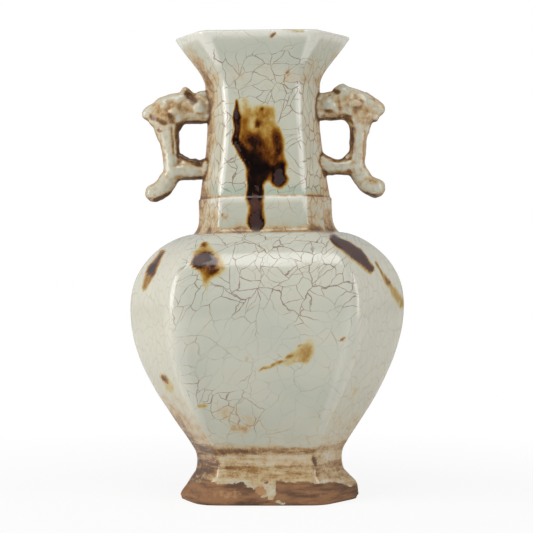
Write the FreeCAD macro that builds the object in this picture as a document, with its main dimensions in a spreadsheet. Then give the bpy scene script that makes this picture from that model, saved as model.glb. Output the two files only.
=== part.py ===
import FreeCAD, Part

import math
import os

import Sketcher

# Faceted stoneware vase of baluster form with two beast-head handles, fired and glazed as one piece.
# Millimetres, +Z up. The origin is the centre of the foot, on the surface that the vase stands on.
# The handles lie along X, and the broad front panel faces -Y.

# Driving sizes. A name that ends in _share is a ratio and one that ends in _angle is in degrees.
SIZES = {
    # plan, six-sided at every level: edges on the X axis, broad panels at the front and the back
    "depth_share": 0.641,
    "facet_angle": 60,
    # foot and pedestal
    "foot_width": 115.8,
    "foot_underside_inset": 2.3,
    "foot_edge_height": 3.8,
    "foot_flare_height": 14.6,
    "waist_width": 94.6,
    "waist_band_height": 13,
    "waist_band_flare": 1,
    # body
    "lower_body_height": 93,
    "belly_width": 178.2,
    "upper_body_height": 48.6,
    # collar
    "collar_height": 21.3,
    "collar_width": 86.4,
    "collar_foot_flare": 4.7,
    "collar_step": 0.9,
    # neck and mouth
    "neck_height": 45.7,
    "neck_width": 73.4,
    "upper_neck_height": 26.5,
    "upper_neck_spread": 0.8,
    "mouth_height": 31.5,
    "mouth_width": 112.8,
    "lip_height": 2,
    "lip_thickness": 3.8,
    "lip_rounding": 1.2,
    # rounding of the upright edges between the panels
    "foot_corner": 6,
    "waist_corner": 5,
    "belly_corner": 10,
    "collar_corner": 4,
    "neck_corner": 4.5,
    "mouth_corner": 8,
    "inside_corner_extra": 2,
    # hollow and foot recess
    "wall": 6,
    "floor_thickness": 8,
    "floor_rounding": 6,
    "foot_ring_width": 9,
    "recess_depth": 14,
    "recess_draft": 5,
    # handles, set out from the finger hole that each leaves beside the neck
    "finger_hole_rise": 25.6,
    "finger_hole_height": 24,
    "finger_hole_width": 18.6,
    "arm_depth": 12.4,
    "arm_rounding_share": 0.44,
    "lower_arm_thickness": 11.6,
    "lower_arm_flare": 3.6,
    "upper_arm_thickness": 20,
    "head_depth": 15,
    "brow_rise": 5.2,
    "cheek_rise": 1,
    "chin_drop": 6.4,
    "snout_length": 11.8,
    "snout_thickness": 13.4,
    "muzzle_thickness": 5,
    "muzzle_rise": 7.6,
    "bar_width": 11.8,
    "curl_drop": 19.9,
    "curl_reach": 11.6,
    "curl_end_width": 12.8,
}

# Into how many bands each curved stretch of the outline and the curl of the handle are divided.
BAND_COUNTS = {
    "foot_flare": 2,
    "waist": 2,
    "lower_body": 7,
    "upper_body": 8,
    "collar": 4,
    "neck": 3,
    "upper_neck": 2,
    "mouth": 5,
    "curl": 3,
}

# Points on a rounded edge, as shares of its radius: how far in from the side and down from the top.
ROUNDED_EDGE = ((0, 1), (0.293, 0.293), (1, 0))
# Sections of a rounded end, as shares of its radius: how far along it and how wide they are.
ROUNDED_END = ((0.5, 0.866), (0.866, 0.5))

# A sketch's points and axes, as its constraints number them.
START = 1
END = 2
CENTRE = 3
ORIGIN = -1
X_AXIS = -1
Y_AXIS = -2

doc = FreeCAD.newDocument("vase")
sheet = doc.addObject("Spreadsheet::Sheet", "Sizes")
for row, (alias, number) in enumerate(SIZES.items(), start=1):
    sheet.set(f"A{row}", alias)
    sheet.set(f"B{row}", str(number))
    sheet.setAlias(f"B{row}", alias)
doc.recompute()


def size(alias):
    """The expression that reads one size from the sheet."""
    return f"Sizes.{alias}"


def total(*parts):
    """The expression for a sum."""
    return "(" + " + ".join(parts) + ")"


def less(whole, *parts):
    """The expression for what is left of a value when others are taken from it."""
    return "(" + " - ".join((whole,) + parts) + ")"


def times(factor, value):
    """The expression for a multiple of a value."""
    return f"({factor} * {value})"


def between(low, high, share):
    """The expression for a value that lies part of the way from low to high."""
    return f"({low} + ({high} - {low}) * {share})"


def now(expression):
    """The number that an expression gives with the present sizes."""
    return float(sheet.evalExpression(expression))


class Level:
    """One level of the outline, as expressions: its height, its width from edge to edge along X,
    the rounding of its upright edges, the thickness of its wall and its depth between panels."""

    def __init__(self, height, width, corner, wall="Sizes.wall", depth=None):
        self.height = height
        self.width = width
        self.corner = corner
        self.wall = wall
        self.depth = depth or times(width, size("depth_share"))

    def up(self, rise, width, corner, wall="Sizes.wall"):
        """The level that lies higher than this one by a given rise."""
        return Level(total(self.height, rise), width, corner, wall)

    def drawn_in(self, amount, height, corner):
        """This plan with every panel moved inwards by an amount, at another height."""
        width = less(self.width, f"2 * {amount} / sin({size('facet_angle')})")
        return Level(height, width, corner, depth=less(self.depth, times(2, amount)))


def even(way):
    """Sections at even distances."""
    return way


def closer_to_top(way):
    """Sections that draw together towards the top of a stretch."""
    return math.sin(math.pi / 2 * way)


def closer_to_foot(way):
    """Sections that draw together towards the foot of a stretch."""
    return way**2


def flaring(rise):
    """Pedestal: nearly straight, a little fuller at its foot."""
    return rise**1.1


def swelling(rise):
    """Lower body: quick at first, upright at the belly."""
    return math.sin(math.pi / 2 * rise**1.05)


def shouldering(rise):
    """Upper body: upright at the belly, almost level where it meets the collar."""
    return 1 - (1 - rise**2.2) ** 0.63


def coving(rise):
    """Collar: a tight cove at its foot, then upright."""
    return 1 - (1 - rise) ** 5.8


def tapering(rise):
    """Neck: leans in from the ledge and comes upright."""
    return 1 - (1 - rise) ** 1.45


def opening(rise):
    """Waist and upper neck: upright, then a little outwards."""
    return rise**2


def trumpeting(rise):
    """Mouth: sweeps out like a trumpet's bell."""
    return 1.84 * rise**2 / (1 + 0.84 * rise**2)


def stretch(lower, upper, bands, shape, spacing=even):
    """The levels of a curved stretch, from its lower level to its upper one.

    The shape gives how much of the change of width has been made at each share of the rise.
    """
    levels = [lower]
    for step in range(1, bands):
        rise = round(spacing(step / bands), 4)
        change = round(shape(rise), 4)
        levels.append(
            Level(
                between(lower.height, upper.height, rise),
                between(lower.width, upper.width, change),
                between(lower.corner, upper.corner, change),
                between(lower.wall, upper.wall, change),
            )
        )
    levels.append(upper)
    return levels


def inside(level, below, above):
    """The level of the hollow that lies one wall thickness inside a level of the outline.

    The wall is measured square to the panels, which lean as the neighbouring levels say.
    """
    slant = f"sin({size('facet_angle')})"
    climb = less(above.height, below.height)
    side_run = times(slant, f"({above.width} - {below.width}) / 2")
    side_length = f"sqrt({side_run} ^ 2 + {climb} ^ 2)"
    shift = f"({level.wall} * {side_run} / {side_length})"
    extra = size("inside_corner_extra")
    side_inset = less(f"({level.wall} * {climb} / {side_length} + {extra}) / {slant}", extra)
    lean = f"(({above.depth} - {below.depth}) / 2 / {climb})"
    front_inset = f"({level.wall} * sqrt(1 + {lean} ^ 2) - {lean} * {shift})"
    return Level(
        total(level.height, shift),
        less(level.width, times(2, side_inset)),
        total(level.corner, extra),
        depth=less(level.depth, times(2, front_inset)),
    )


def origin_plane(body, role):
    """One of the body's own origin planes."""
    return next(plane for plane in body.Origin.OriginFeatures if plane.Role == role)


def new_sketch(body, name, role, offset):
    """An empty sketch, parallel to an origin plane and as far from it as an expression says."""
    sketch = body.newObject("Sketcher::SketchObject", name)
    sketch.AttachmentSupport = (origin_plane(body, role), [""])
    sketch.MapMode = "FlatFace"
    sketch.setExpression("AttachmentOffset.Base.z", offset)
    return sketch


def dimension(sketch, expression, kind, *references):
    """Adds a driving dimension and ties it to an expression."""
    number = sketch.addConstraint(Sketcher.Constraint(kind, *references, now(expression)))
    sketch.setExpression(f"Constraints[{number}]", expression)


def draw_rounded_outline(sketch, centres, facings, radius):
    """Draws arcs about the given centres, joined by tangent lines into a closed outline.

    The centres run against the clock, and side i, from centre i to the next, faces facings[i].
    """
    up = FreeCAD.Vector(0, 0, 1)
    points = [FreeCAD.Vector(x, y, 0) for x, y in centres]
    following = points[1:] + points[:1]
    arcs = []
    sides = []
    for i, centre in enumerate(points):
        first = facings[i - 1] if i else facings[-1] - 2 * math.pi
        arc = Part.ArcOfCircle(Part.Circle(centre, up, radius), first, facings[i])
        arcs.append(sketch.addGeometry(arc, False))
    for centre, neighbour, facing in zip(points, following, facings):
        out = FreeCAD.Vector(math.cos(facing), math.sin(facing), 0) * radius
        line = Part.LineSegment(centre + out, neighbour + out)
        sides.append(sketch.addGeometry(line, False))
    rules = [Sketcher.Constraint("Equal", arcs[0], arc) for arc in arcs[1:]]
    for arc, side, next_arc in zip(arcs, sides, arcs[1:] + arcs[:1]):
        rules.append(Sketcher.Constraint("Tangent", arc, END, side, START))
        rules.append(Sketcher.Constraint("Tangent", side, END, next_arc, START))
    sketch.addConstraint(rules)
    return arcs, sides


def mirror_centres(sketch, pairs, axis):
    """Keeps the centres of each pair of arcs mirror images of each other across an axis."""
    for first, second in pairs:
        rule = Sketcher.Constraint("Symmetric", first, CENTRE, second, CENTRE, axis)
        sketch.addConstraint(rule)


def six_sided_section(body, name, level):
    """The plan of the vase at one level, with rounded edges."""
    sketch = new_sketch(body, name, "XY_Plane", level.height)
    radius = now(level.corner)
    along = now(level.width) / 2 - radius
    across = now(level.depth) / 2 - radius
    angle = math.radians(SIZES["facet_angle"])
    panel_end = along - across / math.tan(angle)
    right = [(panel_end, -across), (along, 0), (panel_end, across)]
    left = [(-x, -y) for x, y in right]
    back = [math.pi / 2 - angle, math.pi / 2, math.pi / 2 + angle]
    front = [facing + math.pi for facing in back]
    centres = right[1:] + left + right[:1]
    arcs, sides = draw_rounded_outline(sketch, centres, back + front, radius)
    mirror_centres(sketch, ((arcs[0], arcs[3]), (arcs[1], arcs[2]), (arcs[5], arcs[4])), Y_AXIS)
    mirror_centres(sketch, ((arcs[1], arcs[5]),), X_AXIS)
    sketch.addConstraint(Sketcher.Constraint("PointOnObject", arcs[0], CENTRE, X_AXIS))
    number = sketch.addConstraint(Sketcher.Constraint("Angle", sides[0], math.pi - angle))
    sketch.setExpression(f"Constraints[{number}]", f"(180 - {size('facet_angle')}) * 1 deg")
    between_ends = less(level.width, times(2, level.corner))
    between_panels = less(level.depth, times(2, level.corner))
    dimension(sketch, level.corner, "Radius", arcs[0])
    dimension(sketch, between_ends, "DistanceX", arcs[3], CENTRE, arcs[0], CENTRE)
    dimension(sketch, between_panels, "DistanceY", arcs[5], CENTRE, arcs[1], CENTRE)
    return sketch


def oblong_section(body, name, reach, low, high, depth):
    """A rounded oblong across an arm of the handle, square to X, between two heights."""
    sketch = new_sketch(body, name, "YZ_Plane", reach)
    rounding = f"(min({less(high, low)}; {depth}) * {size('arm_rounding_share')})"
    radius = now(rounding)
    half = now(depth) / 2 - radius
    bottom = now(low) + radius
    top = now(high) - radius
    centres = [(half, bottom), (half, top), (-half, top), (-half, bottom)]
    facings = [0, math.pi / 2, math.pi, 3 * math.pi / 2]
    arcs, sides = draw_rounded_outline(sketch, centres, facings, radius)
    mirror_centres(sketch, ((arcs[0], arcs[3]), (arcs[1], arcs[2])), Y_AXIS)
    sketch.addConstraint(Sketcher.Constraint("Vertical", sides[0]))
    between_sides = less(depth, times(2, rounding))
    dimension(sketch, rounding, "Radius", arcs[0])
    dimension(sketch, between_sides, "DistanceX", arcs[3], CENTRE, arcs[0], CENTRE)
    dimension(sketch, total(low, rounding), "DistanceY", ORIGIN, START, arcs[0], CENTRE)
    dimension(sketch, less(high, rounding), "DistanceY", ORIGIN, START, arcs[1], CENTRE)
    return sketch


def round_section(body, name, reach, height, turn, radius):
    """A round section of the lower arm, the bar or its curl, tilted about Y by some degrees."""
    sketch = new_sketch(body, name, "XY_Plane", height)
    sketch.AttachmentOffset.Rotation = FreeCAD.Rotation(FreeCAD.Vector(0, 1, 0), -turn)
    sketch.setExpression("AttachmentOffset.Base.x", reach)
    up = FreeCAD.Vector(0, 0, 1)
    ring = sketch.addGeometry(Part.Circle(FreeCAD.Vector(0, 0, 0), up, now(radius)), False)
    sketch.addConstraint(Sketcher.Constraint("Coincident", ring, CENTRE, ORIGIN, START))
    dimension(sketch, radius, "Radius", ring)
    return sketch


def loft(body, kind, name, sections):
    """A loft with straight sides from section to section, added to the clay or taken from it."""
    feature = body.newObject(f"PartDesign::{kind}Loft", name)
    feature.Profile = sections[0]
    feature.Sections = sections[1:]
    feature.Ruled = True
    feature.Refine = False
    return feature


def loft_levels(body, kind, name, levels):
    """A loft through the six-sided sections at the given levels."""
    sections = []
    for number, level in enumerate(levels, start=1):
        sections.append(six_sided_section(body, f"{name}_section_{number}", level))
    return loft(body, kind, name, sections)


def loft_clay(body, name, draw_section, sections):
    """A loft through the sections of a part of the handle, each drawn by the same function."""
    sketches = []
    for number, section in enumerate(sections, start=1):
        sketches.append(draw_section(body, f"{name}_section_{number}", *section))
    return loft(body, "Additive", name, sketches)


# Levels at which the outline turns sharply or stands upright, from the foot to the lip.
foot_corner = size("foot_corner")
waist_corner = size("waist_corner")
mouth_corner = size("mouth_corner")
lip_wall = size("lip_thickness")
underside_width = less(size("foot_width"), times(2, size("foot_underside_inset")))
band_width = total(size("waist_width"), times(2, size("waist_band_flare")))
half_band = times(0.5, size("waist_band_height"))
collar_foot_width = total(size("collar_width"), times(2, size("collar_foot_flare")))
neck_foot_width = less(size("collar_width"), times(2, size("collar_step")))
upper_neck_width = total(size("neck_width"), times(2, size("upper_neck_spread")))
underside = Level("0", underside_width, foot_corner)
foot_edge = underside.up(size("foot_edge_height"), size("foot_width"), foot_corner)
band_foot = foot_edge.up(size("foot_flare_height"), band_width, waist_corner)
waist = band_foot.up(half_band, size("waist_width"), waist_corner)
band_top = waist.up(half_band, band_width, waist_corner)
belly = band_top.up(size("lower_body_height"), size("belly_width"), size("belly_corner"))
collar_foot = belly.up(size("upper_body_height"), collar_foot_width, size("collar_corner"))
collar_top = collar_foot.up(size("collar_height"), size("collar_width"), size("collar_corner"))
neck_foot = Level(collar_top.height, neck_foot_width, size("neck_corner"))
neck = neck_foot.up(size("neck_height"), size("neck_width"), size("neck_corner"))
upper_neck = neck.up(size("upper_neck_height"), upper_neck_width, size("neck_corner"))
mouth = upper_neck.up(size("mouth_height"), size("mouth_width"), mouth_corner, lip_wall)
lip = mouth.up(size("lip_height"), size("mouth_width"), mouth_corner, lip_wall)

foot_flare = stretch(foot_edge, band_foot, BAND_COUNTS["foot_flare"], flaring)
waist_below = stretch(band_foot, waist, BAND_COUNTS["waist"], swelling)
waist_above = stretch(waist, band_top, BAND_COUNTS["waist"], opening)
lower_body = stretch(band_top, belly, BAND_COUNTS["lower_body"], swelling)
upper_body = stretch(belly, collar_foot, BAND_COUNTS["upper_body"], shouldering, closer_to_top)
collar = stretch(collar_foot, collar_top, BAND_COUNTS["collar"], coving, closer_to_foot)
lower_neck = stretch(neck_foot, neck, BAND_COUNTS["neck"], tapering)
neck_top = stretch(neck, upper_neck, BAND_COUNTS["upper_neck"], opening)
flare = stretch(upper_neck, mouth, BAND_COUNTS["mouth"], trumpeting)

body = doc.addObject("PartDesign::Body", "vase")

# Neck and mouth, which come first because the handles are luted to them.
rounding = size("lip_rounding")
rounded_lip = []
for inwards, down in ROUNDED_EDGE:
    height = less(lip.height, times(down, rounding))
    rounded_lip.append(lip.drawn_in(times(inwards, rounding), height, lip.corner))
throat = lower_neck + neck_top[1:] + flare[1:]
loft_levels(body, "Additive", "neck_and_mouth", throat + rounded_lip)

# Handle on the right: a lower arm, an upper arm that swells into the beast's head, and between
# them a bar that runs on below and curls outwards.
neck_side = times(0.5, size("neck_width"))
root = less(neck_side, f"{size('wall')} / sin({size('facet_angle')})")
bar_inside = total(neck_side, size("finger_hole_width"))
bar_middle = total(bar_inside, times(0.5, size("bar_width")))
bar_outside = total(bar_inside, size("bar_width"))
tip = total(bar_outside, size("snout_length"))
hole_bottom = total(collar_top.height, size("finger_hole_rise"))
hole_top = total(hole_bottom, size("finger_hole_height"))
lower_arm_radius = times(0.5, size("lower_arm_thickness"))
lower_arm_middle = less(hole_bottom, lower_arm_radius)
arm_top = total(hole_top, size("upper_arm_thickness"))
chin = less(hole_top, size("chin_drop"))
brow = total(arm_top, size("brow_rise"))
cheek = total(arm_top, size("cheek_rise"))
muzzle = total(hole_top, size("muzzle_rise"))
arm_depth = size("arm_depth")
head_depth = size("head_depth")


def across_hole(share):
    """How far out a section lies that is part of the way across the finger hole."""
    return between(neck_side, bar_inside, share)


def lower_arm_section(reach, share):
    """A round section of the lower arm, thicker by a share of the flare at its root."""
    radius = total(lower_arm_radius, times(share, size("lower_arm_flare")))
    return (reach, lower_arm_middle, 90, radius)


def head_section(reach, jaw, top, swell):
    """A section of the upper arm and head: how far it has dropped to the chin, its top, its swell."""
    return (reach, between(hole_top, chin, jaw), top, between(arm_depth, head_depth, swell))


def snout_section(share, thickness, depth_factor):
    """A section of the snout, part of the way from the bar to its tip."""
    half = times(0.5, thickness)
    reach = between(bar_outside, tip, share)
    return (reach, less(muzzle, half), total(muzzle, half), times(depth_factor, arm_depth))


lower_arm_sections = [
    lower_arm_section(root, 1),
    lower_arm_section(across_hole(0.12), 0.35),
    lower_arm_section(across_hole(0.5), 0),
    lower_arm_section(bar_middle, 0),
]
head_sections = [
    head_section(root, 0.2, arm_top, 0),
    head_section(across_hole(0.45), 0, arm_top, 0),
    head_section(across_hole(0.64), 0, between(arm_top, brow, 0.9), 0.4),
    head_section(across_hole(0.82), 0.12, brow, 0.7),
    head_section(between(bar_inside, bar_middle, 0.4), 0.45, between(cheek, brow, 0.5), 1),
    head_section(between(bar_middle, bar_outside, 0.3), 0.9, cheek, 1),
    head_section(between(bar_outside, tip, 0.1), 1, between(arm_top, muzzle, 0.18), 1),
    snout_section(0.55, size("snout_thickness"), 1.1),
    snout_section(0.86, times(0.8, size("snout_thickness")), 0.9),
    snout_section(1, size("muzzle_thickness"), 0.5),
]
lower_arm = loft_clay(body, "lower_arm", round_section, lower_arm_sections)
upper_arm = loft_clay(body, "upper_arm_and_head", oblong_section, head_sections)

bar_radius = times(0.5, size("bar_width"))
end_radius = times(0.5, size("curl_end_width"))
curl_end = total(bar_middle, size("curl_reach"))
curl_height = less(hole_bottom, size("curl_drop"))
bar_start = between(hole_top, arm_top, 0.3)
rounds = [(bar_middle, bar_start, 0, bar_radius)]
for step in range(BAND_COUNTS["curl"] + 1):
    share = step / BAND_COUNTS["curl"]
    turn = 90 * share
    out = round(1 - math.cos(math.radians(turn)), 4)
    up = round(1 - math.sin(math.radians(turn)), 4)
    reach = total(bar_middle, times(out, size("curl_reach")))
    height = total(curl_height, times(up, size("curl_reach")))
    rounds.append((reach, height, turn, between(bar_radius, end_radius, share)))
for along, wide in ROUNDED_END:
    reach = total(curl_end, times(along, end_radius))
    rounds.append((reach, curl_height, 90, times(wide, end_radius)))
bar = loft_clay(body, "bar_and_curl", round_section, rounds)

# The same handle on the left.
second_handle = body.newObject("PartDesign::Mirrored", "second_handle")
second_handle.Originals = [lower_arm, upper_arm, bar]
second_handle.MirrorPlane = (origin_plane(body, "YZ_Plane"), [""])
second_handle.Refine = False
body.Tip = second_handle

# Pedestal, waist band, body and collar.
pedestal = [underside] + foot_flare + waist_below[1:] + waist_above[1:]
wall_levels = pedestal + lower_body[1:] + upper_body[1:] + collar[1:]
loft_levels(body, "Additive", "pedestal_to_collar", wall_levels)

# Hollow, which also trims the roots of the handles.
floor_height = total(size("recess_depth"), size("floor_thickness"))
floor_rounding = size("floor_rounding")
waist_inside = inside(waist, band_foot, band_top)
hollow_levels = []
for inwards, above_floor in reversed(ROUNDED_EDGE):
    height = total(floor_height, times(above_floor, floor_rounding))
    amount = times(inwards, floor_rounding)
    hollow_levels.append(waist_inside.drawn_in(amount, height, waist_inside.corner))
outline = [waist] + lower_body + upper_body[1:] + collar[2:-1] + throat
for below, level, above in zip(outline, outline[1:], outline[2:]):
    hollow_levels.append(inside(level, below, above))
rim_corner = total(lip.corner, size("inside_corner_extra"))
for inwards, down in ROUNDED_EDGE:
    height = less(lip.height, times(down, rounding))
    amount = less(lip_wall, times(inwards, rounding))
    hollow_levels.append(lip.drawn_in(amount, height, rim_corner))
over_lip = total(lip.height, rounding)
hollow_levels.append(lip.drawn_in(less(lip_wall, times(2, rounding)), over_lip, rim_corner))
loft_levels(body, "Subtractive", "hollow", hollow_levels)

# Recess under the foot, which leaves a ring to stand on.
ring_width = size("foot_ring_width")
roof_inset = total(ring_width, size("recess_draft"))
recess_mouth = underside.drawn_in(ring_width, underside.height, foot_corner)
recess_roof = underside.drawn_in(roof_inset, size("recess_depth"), foot_corner)
loft_levels(body, "Subtractive", "foot_recess", [recess_mouth, recess_roof])

body.Label = "vase"
doc.recompute()

for item in doc.Objects:
    if "Invalid" in item.State or "Error" in item.State:
        raise RuntimeError(f"{item.Name} failed: {item.State}")
shape = body.Shape
if shape.isNull() or not shape.isValid() or len(shape.Solids) != 1:
    raise RuntimeError("the vase is not one valid solid")

os.makedirs("parts", exist_ok=True)
shape.exportStep(f"parts/{body.Label}.step")
print(f"vase: {shape.Volume / 1000:.1f} cm3, {len(shape.Faces)} faces")
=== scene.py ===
import math

import bmesh
import bpy
import numpy as np
from mathutils import Matrix, Vector, noise


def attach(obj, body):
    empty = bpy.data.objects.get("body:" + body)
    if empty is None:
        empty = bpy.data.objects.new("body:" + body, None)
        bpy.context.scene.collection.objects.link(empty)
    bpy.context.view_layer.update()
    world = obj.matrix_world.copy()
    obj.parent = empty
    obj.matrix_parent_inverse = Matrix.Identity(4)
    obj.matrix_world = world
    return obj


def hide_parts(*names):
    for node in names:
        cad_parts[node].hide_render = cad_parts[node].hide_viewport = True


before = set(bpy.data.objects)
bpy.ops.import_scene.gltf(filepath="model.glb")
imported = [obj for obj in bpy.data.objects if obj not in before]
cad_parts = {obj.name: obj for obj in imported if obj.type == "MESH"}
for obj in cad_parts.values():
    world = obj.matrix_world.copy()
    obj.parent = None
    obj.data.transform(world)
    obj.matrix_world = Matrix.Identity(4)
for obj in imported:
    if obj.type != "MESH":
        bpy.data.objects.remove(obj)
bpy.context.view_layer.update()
mm = 0.001  # the sizes below are millimetres, and Blender's unit is the metre

# Six-sided body: the front panel faces -Y and the handles lie along X.
body = {
    "depthShare": 0.63,  # depth from panel to panel over width from edge to edge
    "frontShare": 0.626,  # width of the front panel over the width of the vase
    "levels": [  # height, width, rounding of the upright edges, how the side climbs to the next level
        (0, 113.8, 17, "straight"),
        (2.6, 115.8, 17, "flaring"),
        (18.4, 96.6, 6, "swelling"),
        (24.9, 94.6, 5, "opening"),
        (31.4, 96.6, 5, "swelling"),
        (124.4, 178.2, 11, "shouldering"),
        (172, 94.6, 5, "coving"),
        (193.7, 86.4, 4, "rounding"),
        (194.6, 84.6, 4.5, "tapering"),
        (240, 73.4, 4.5, "opening"),
        (266.5, 75, 5, "trumpeting"),
        (297.8, 113, 8, "rounding"),
        (299, 111, 8, "end"),
    ],
    "frontShift": [  # height, how far the front panel sits to the right of the middle
        (0, -5.4), (28, -1.5), (58, -4.6), (124, -1.2), (184, -1.7), (235, -0.6), (300, -2.3),
    ],
    "ringSpacing": 1.8,
    "insideSpacing": 4,
    "cornerSteps": 8,
    "panelSteps": (18, 18, 46, 18, 18, 34),  # along each panel, from the back left edge against the clock
    "wall": 6,
    "lipWall": 3.8,
    "floorHeight": 22,
    "footRing": 9,
    "recessDepth": 14,
    "crown": 0.7,  # how far the middle of a broad panel stands proud
    "footLump": {"size": 3.2, "height": 9.5, "spread": 6},  # clay pushed out at the right end of the foot
    "lean": 0.97,  # degrees to the left
    "leanHeight": 145,  # the height that stays in place as the vase leans
    "rimTilt": 0.6,  # share of the lean that the rim shows
}

climbs = {  # share of the change of width that has been made at each share of the rise
    "straight": lambda rise: rise,
    "flaring": lambda rise: rise**1.1,
    "swelling": lambda rise: math.sin(math.pi / 2 * rise**1.05),
    "shouldering": lambda rise: 1 - (1 - rise**2.2) ** 0.63,
    "coving": lambda rise: 1 - (1 - rise) ** 5.8,
    "rounding": lambda rise: 1 - math.sqrt(max(1 - rise**2, 0)),
    "tapering": lambda rise: 1 - (1 - rise) ** 1.45,
    "opening": lambda rise: rise**2,
    "trumpeting": lambda rise: 1.84 * rise**2 / (1 + 0.84 * rise**2),
}


def blend(low, high, share):
    return low + (high - low) * share


def easeStep(start, end, value):  # 0 below start, 1 above end, smooth between them
    share = min(max((value - start) / (end - start), 0), 1)
    return share * share * (3 - 2 * share)


def readCurve(points, height):  # a smooth run through (height, value) points
    for (low, first), (high, second) in zip(points, points[1:]):
        if height <= high:
            return blend(first, second, easeStep(low, high, height))
    return points[-1][1]


def makeLevel(height, width, corner, depth=None):
    return {
        "height": height,
        "width": width,
        "depth": depth or width * body["depthShare"],
        "corner": corner,
    }


def climb(low, high, spacing):  # levels an even distance apart up one stretch of the side
    fine = []
    for step in range(201):
        rise = step / 200
        change = climbs[low[3]](rise)
        fine.append([blend(low[0], high[0], rise)] + [blend(low[i], high[i], change) for i in (1, 2)])
    run = [0]
    for below, above in zip(fine, fine[1:]):
        run.append(run[-1] + math.hypot(above[0] - below[0], (above[1] - below[1]) / 2))
    count = max(round(run[-1] / spacing), 2)
    levels = []
    place = 0
    for step in range(count):
        while run[place + 1] < run[-1] * step / count:
            place += 1
        levels.append(makeLevel(*fine[place + (step > 0)]))
    return levels


def outsideLevels(spacing):
    levels = []
    for low, high in zip(body["levels"], body["levels"][1:]):
        levels += climb(low, high, spacing)
    levels.append(makeLevel(*body["levels"][-1][:3]))
    return levels


def insideLevels():  # one wall thickness inside the outside, from the lip down to the floor
    outside = [level for level in outsideLevels(body["insideSpacing"]) if level["height"] > 20]
    levels = []
    for below, level, above in zip(outside, outside[1:], outside[2:]):
        thick = blend(body["wall"], body["lipWall"], easeStep(270, 298, level["height"]))
        rise = above["height"] - below["height"]
        spread = (above["width"] - below["width"]) / 2
        slope = math.hypot(rise, spread)
        height = level["height"] + thick * spread / slope
        width = level["width"] - 2 * thick * max(rise / slope, 0.1) / math.sin(math.radians(60))
        depth = level["depth"] - 2 * thick * max(rise / slope, 0.2)
        if not levels or height > levels[-1]["height"] + 0.5:
            levels.append(makeLevel(height, width, level["corner"] + 2, depth))
    return [level for level in reversed(levels) if level["height"] > body["floorHeight"] + 4]


def planCorners(level):  # back left, left, front left, front right, right, back right
    half = level["width"] / 2 + level["corner"] * (1 / math.cos(math.pi / 6) - 1)
    deep = level["depth"] / 2
    panel = half - (deep / math.tan(math.radians(60)))
    panel = panel * body["frontShare"] / 0.63
    shift = readCurve(body["frontShift"], level["height"])
    return [
        Vector((-panel, deep)), Vector((-half, 0)), Vector((shift - panel, -deep)),
        Vector((shift + panel, -deep)), Vector((half, 0)), Vector((panel, deep)),
    ]


def ringPlaces():  # where each vertex of a ring lies: its corner, and how far round it or along its panel
    steps = body["cornerSteps"]
    places = []
    for corner, panelSteps in enumerate(body["panelSteps"]):
        places += [(corner, step / steps, True) for step in range(steps)]
        places += [(corner, step / panelSteps, False) for step in range(panelSteps)]
    return places[steps // 2:] + places[:steps // 2]


def planPoint(level, place):
    corners = planCorners(level)
    number, share, onCorner = place

    def roundedEdge(index):
        here = corners[index % 6]
        before = (here - corners[index - 1]).normalized()
        after = (corners[(index + 1) % 6] - here).normalized()
        turn = before.angle(after)
        cut = level["corner"] * math.tan(turn / 2)
        return here - before * cut, here, here + after * cut, math.cos(turn / 2)

    first, here, last, weight = roundedEdge(number)
    if onCorner:
        parts = ((1 - share) ** 2, 2 * share * (1 - share) * weight, share**2)
        return (first * parts[0] + here * parts[1] + last * parts[2]) / sum(parts)
    end = roundedEdge((number + 1) % 6)[0]
    outwards = Vector(((end - last).y, -(end - last).x)).normalized()
    crown = body["crown"] * (end - last).length / 100 * 4 * share * (1 - share)
    return last.lerp(end, share) + outwards * crown


def handMade(point):  # the lean and the uneven panels of a vase made by hand, in millimetres
    grow = noise.noise(point * 0.021 + Vector((3.1, 0, 7))) * 0.9
    grow += noise.noise(point * 0.06 + Vector((0, 5.2, 1))) * 0.3
    rough = 1 - easeStep(9, 14, point.z)
    grow += noise.noise(point * 0.16) * 0.55 * rough
    flat = Vector((point.x, point.y, 0))
    lump = body["footLump"]
    grow += lump["size"] * easeStep(36, 50, point.x) * math.exp(-((point.z - lump["height"]) / lump["spread"]) ** 2)
    point = point + flat.normalized() * grow * easeStep(0, 3, point.z)
    lean = math.tan(math.radians(body["lean"]))
    tilt = lean * easeStep(2, 30, point.z) * blend(1, body["rimTilt"], easeStep(262, 300, point.z))
    rise = point.x * tilt
    point.x -= (point.z - body["leanHeight"]) * lean
    point.z += rise
    return point


print("body")


def profileLevels():  # from the roof of the foot recess, down, up the outside, over the lip, to the floor
    foot = makeLevel(*body["levels"][0][:3])
    ring = body["footRing"]
    recess = []
    for height, inset in ((body["recessDepth"], ring + 30), (body["recessDepth"], ring + 5), (0.6, ring)):
        recess.append(makeLevel(height, foot["width"] - 2.3 * inset, 6, foot["depth"] - 2 * inset))
    recess.append(makeLevel(0, foot["width"] - 2.3 * ring + 1.5, 6, foot["depth"] - 2 * ring + 1.5))
    outside = outsideLevels(body["ringSpacing"])
    lip = outside[-1]
    flat = makeLevel(lip["height"] + 0.4, lip["width"] - 2.6, 8)
    turned = makeLevel(lip["height"] - 0.2, lip["width"] - 2 * body["lipWall"], 8)
    inside = insideLevels()
    floor = []
    for down, inset in ((1.5, 2), (4, 6), (5, 14), (5.2, 30)):
        last = inside[-1]
        floor.append(makeLevel(last["height"] - down, last["width"] - 2 * inset, 5, last["depth"] - 2 * inset))
    return recess + outside + [flat, turned] + inside + floor


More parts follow.
